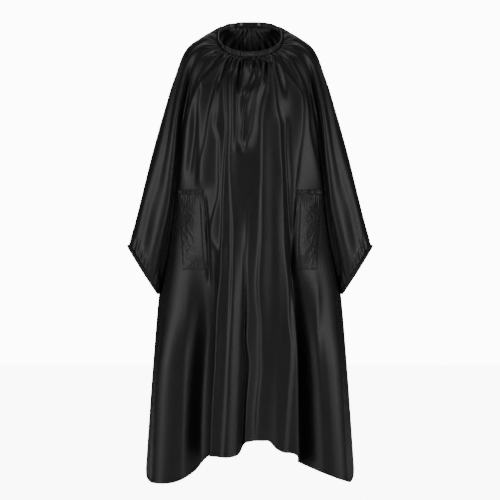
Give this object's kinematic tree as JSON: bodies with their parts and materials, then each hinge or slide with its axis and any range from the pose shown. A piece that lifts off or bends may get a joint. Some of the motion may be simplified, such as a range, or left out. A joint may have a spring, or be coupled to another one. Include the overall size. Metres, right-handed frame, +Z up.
{
  "type": "barber cape",
  "caption": "Hairdressing cape with raglan sleeves, gathered elastic neckband, elastic cuffs, front patch pockets and a back opening closed by a snap tab",
  "frame": {"origin": "centre of the neck opening, in the plane of the band's upper edge, where the wearer's neck carries the cape", "axes": "+Z up, the front faces -Y, +X is on the right as one looks at the front"},
  "size_m": [0.7404, 0.311, 1.3823],
  "materials": {
    "satin": "black satin-weave polyester, soft sheen",
    "elastic": "black knitted elastic, matt",
    "snap_metal": "nickel-plated brass press stud"
  },
  "bodies": {
    "cape": {"front_panel": "satin", "left_back_panel": "satin", "right_back_panel": "satin", "left_sleeve_front": "satin", "left_sleeve_back": "satin", "right_sleeve_front": "satin", "right_sleeve_back": "satin", "left_cuff_casing": "satin", "right_cuff_casing": "satin", "left_cuff_elastic": "elastic", "right_cuff_elastic": "elastic", "left_pocket": "satin", "right_pocket": "satin", "left_pocket_casing": "satin", "right_pocket_casing": "satin", "left_pocket_elastic": "elastic", "right_pocket_elastic": "elastic", "neck_casing": "satin", "neck_elastic": "elastic", "inner_snap_post": "snap_metal", "inner_snap_stud": "snap_metal", "outer_snap_post": "snap_metal", "outer_snap_stud": "snap_metal"},
    "tab": {"closure_tab": "satin", "inner_snap_socket": "snap_metal", "inner_snap_cap": "snap_metal", "outer_snap_socket": "snap_metal", "outer_snap_cap": "snap_metal"}
  },
  "joints": [
    {"name": "tab_open", "type": "hinge", "parent": "cape", "child": "tab", "pos_m": [-0.06121, 0.07126, 0.03966], "axis": [0, 0, 1], "range_deg": [0, 110]}
  ]
}
